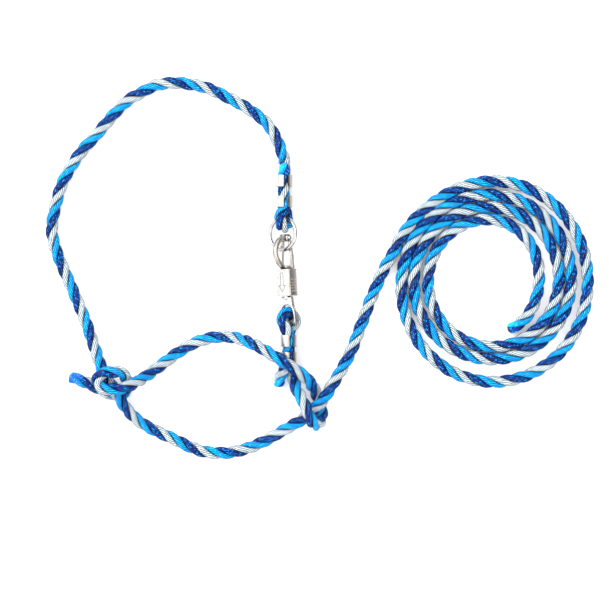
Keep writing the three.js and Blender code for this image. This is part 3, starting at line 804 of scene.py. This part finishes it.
def make_snap_body():
    """Two prongs and their hinge ears, the bridge, the shank in the sleeve and the rope eye."""
    parts = []
    for side in (1, -1):
        prong = [(4.6, 0.5), (8.0, 0.5), (8.3, 6), (8.2, 12), (7.6, 18), (6.6, 24), (5.8, 29),
                 (5.7, HINGE_Y), (3.0, HINGE_Y), (3.1, 26), (3.6, 19), (4.7, 13), (5.0, 7)]
        outline = [(side * x, y) for x, y in prong]
        parts.append(shifted(plate([outline], FORK_THICK, 0.7), z=FORK_Z))
        ear = turned(
            [(0.1, -1.4), (2.6, -1.4), (3.5, -1.0), (3.9, 0), (3.5, 1.0), (2.6, 1.4), (0.1, 1.4)], "X")
        parts.append(shifted(ear, side * 4.4, HINGE_Y, HINGE_Z))
    bridge = plate([rounded(16.6, 3.4, 0.8)], 4.0, 0.7)
    parts.append(shifted(bridge, y=1.9, z=FORK_Z))
    parts.append(shifted(plate([rounded(6, 8, 0.6)], 4.0, 0.4), 1.5, -1.6, FORK_Z - 0.2))
    shank = [(0.1, -30), (3.4, -30), (3.4, -5.2), (0.1, -5.2)]
    parts.append(turned(shank))
    stub = plate([rounded(6.4, 6, 1.0)], 2.2, 0.5)
    parts.append(shifted(stub, y=-4.0, z=-1.8))
    shoulder = [(6.5, -27.6), (7.2, -33), (7.8, -38), (9.6, -42), (10.4, -47), (10.3, -52.5),
                (8.6, -55.0), (5.5, -55.6), (-5.5, -55.6), (-8.6, -55.0), (-10.3, -52.5),
                (-10.4, -47), (-9.6, -42), (-7.8, -38), (-7.2, -33), (-6.5, -27.6)]
    hole = arc(0, -43.2, 7.0, 0, 180, 20)
    hole += arc(-6.0, -49.8, 1.0, 180, 270, 5) + arc(6.0, -49.8, 1.0, 270, 360, 5)
    parts.append(plate([smooth_outline(shoulder, False, 4), hole], 4.4, 1.2, None, 5))
    return metal_piece("snap_body_cast", parts, CAST_NICKEL, SNAP_TURN, "halter", ["snap_body"],
                       0.30, 5)


def make_gate():
    """The bow: a channel-backed arm that hangs from the rivet and tucks its toe in the sleeve."""
    spine = np.array(smooth_outline(
        [(HINGE_Y, HINGE_Z + 2.0), (30.0, 5.0), (27.6, 9.4), (23.8, 13.0), (18.6, 15.0), (13.2, 14.4),
         (8.4, 11.8), (4.8, 8.2), (2.2, 4.9), (-0.6, 1.9)], False, 6))
    ahead = unit(np.gradient(spine, axis=0))
    out = np.stack([-ahead[:, 1], ahead[:, 0]], 1)
    share = np.linspace(0, 1, len(spine))
    sections = []
    for (y, z), (oy, oz), t in zip(spine, out, share):
        half = 1.7 - 0.55 * max(0.0, (t - 0.75) / 0.25) + 0.15 * math.sin(math.pi * t)
        wide = BOW_WIDTH / 2 - 0.35 * max(0.0, (t - 0.8) / 0.2)
        groove = 1.5 * math.sin(math.pi * min(1.0, max(0.0, (t - 0.08) / 0.76)))
        ring = [(-wide, -half * 0.55), (-wide * 0.72, -half), (wide * 0.72, -half), (wide, -half * 0.55),
                (wide, half * 0.6), (wide * 0.82, half), (wide * 0.5, half), (wide * 0.26, half - groove),
                (-wide * 0.26, half - groove), (-wide * 0.5, half), (-wide * 0.82, half), (-wide, half * 0.6)]
        sections.append([(x, y - oy * h, z - oz * h) for x, h in ring])
    knuckle = turned([(0.1, -2.55), (3.0, -2.55), (3.8, -1.9), (3.8, 1.9), (3.0, 2.55), (0.1, 2.55)], "X")
    parts = [swept(sections), shifted(knuckle, 0, HINGE_Y, HINGE_Z)]
    return metal_piece("snap_gate_bow", parts, CAST_NICKEL, SNAP_TURN, "gate", ["snap_gate"],
                       0.26, 3)


def make_rivet():
    head = [(0.1, 8.0), (1.0, 7.9), (1.9, 7.4), (2.45, 6.5), (2.5, 5.9), (1.25, 5.8)]
    profile = [(r, -h) for r, h in head] + [(r, h) for r, h in head[::-1]]
    rivet = shifted(turned(profile, "X"), 0, HINGE_Y, HINGE_Z)
    return metal_piece(
        "gate_rivet_domed", [rivet], RING_NICKEL, SNAP_TURN, "halter", ["gate_rivet"])


def make_sleeve():
    """The release sleeve: a rounded box with grip ridges, a raised rim and a plain arrow, outlined by a dark
    line of painted shade.
    """
    upright = Matrix.Rotation(math.pi / 2, 4, "X")
    shell = [rounded(SLEEVE_W, SLEEVE_D, 3.4, 12),
             rounded(SLEEVE_W - 2 * SLEEVE_WALL, SLEEVE_D - 2 * SLEEVE_WALL, 2.0, 8)]
    parts = [shifted(plate(shell, SLEEVE_LENGTH, 0.5, upright, 4), y=-SLEEVE_LENGTH / 2)]
    rim = [rounded(SLEEVE_W + 0.8, SLEEVE_D + 0.8, 3.8, 12), rounded(SLEEVE_W - 1.6, SLEEVE_D - 1.6, 2.8, 8)]
    parts.append(shifted(plate(rim, 1.7, 0.4, upright, 3), y=-0.95))
    foot = [rounded(SLEEVE_W + 0.6, SLEEVE_D + 0.6, 3.7, 12), rounded(SLEEVE_W - 1.6, SLEEVE_D - 1.6, 2.8, 8)]
    parts.append(shifted(plate(foot, 1.3, 0.35, upright, 3), y=-SLEEVE_LENGTH + 0.75))
    lip = [rounded(SLEEVE_W - 1.5, SLEEVE_D - 1.5, 2.4), arc(0, 0, 3.8, 0, 350, 36)]
    parts.append(shifted(plate(lip, 1.5, 0.2, upright), y=-7))
    for side in (-1, 1):
        for i in range(5):
            ridge = turned(
                [(0.1, -3.7), (0.6, -3.4), (0.85, -2.6), (0.85, 2.6), (0.6, 3.4), (0.1, 3.7)], "Z", 20)
            parts.append(shifted(ridge, side * SLEEVE_W / 2, -11.2 - 2.75 * i))
    metal_piece("release_sleeve_cast", parts, CAST_NICKEL, SNAP_TURN, "sleeve",
                ["release_sleeve"])
    line = 0.42
    tip, barb, neck, tail, shaft, head = -23.0, -16.2, -16.2, -3.6, 1.9, 4.6
    arrow = [
        (-shaft, tail), (shaft, tail), (shaft, neck), (head, barb), (0, tip), (-head, barb),
        (-shaft, neck),
    ]
    inside = [(-shaft + line, tail - line), (shaft - line, tail - line), (shaft - line, neck - line),
              (head - 2.2 * line, barb - line), (0, tip + 1.6 * line), (-head + 2.2 * line, barb - line),
              (-shaft + line, neck - line)]
    # the arrow's outline: a thin dark band of painted shade
    mark = shifted(plate([arrow, inside], 0.3, 0.08), z=SLEEVE_D / 2)
    metal_piece("sleeve_arrow_line", [mark], ARROW_LINE_SHADE, SNAP_TURN, "sleeve", [])


def make_spring():
    """The sleeve's spring, its coils closer at both ends."""
    foot, head, radius, wire, coils, sides = -26.2, -8.5, 4.6, 0.4, 7, 10
    t = np.linspace(0, 1, coils * 30 + 1)
    angle = 2 * math.pi * coils * t
    rise = foot + (head - foot) * (t - 0.6 * np.sin(2 * math.pi * t) / (2 * math.pi))
    path = np.stack([radius * np.cos(angle), rise, radius * np.sin(angle)], 1)
    ahead = unit(np.gradient(path, axis=0))
    out = unit(path * np.array([1, 0, 1]))
    over = np.cross(ahead, out)
    around = 2 * math.pi * np.arange(sides) / sides
    rings = path[:, None] + wire * (np.cos(around)[None, :, None] * out[:, None]
                                    + np.sin(around)[None, :, None] * over[:, None])
    spring = metal_piece("sleeve_spring_wound", [swept(rings)], SPRING_STEEL, SNAP_TURN, "halter",
                         ["sleeve_spring"])
    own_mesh(spring)


make_snap_body()
make_gate()
make_rivet()
make_sleeve()
make_spring()
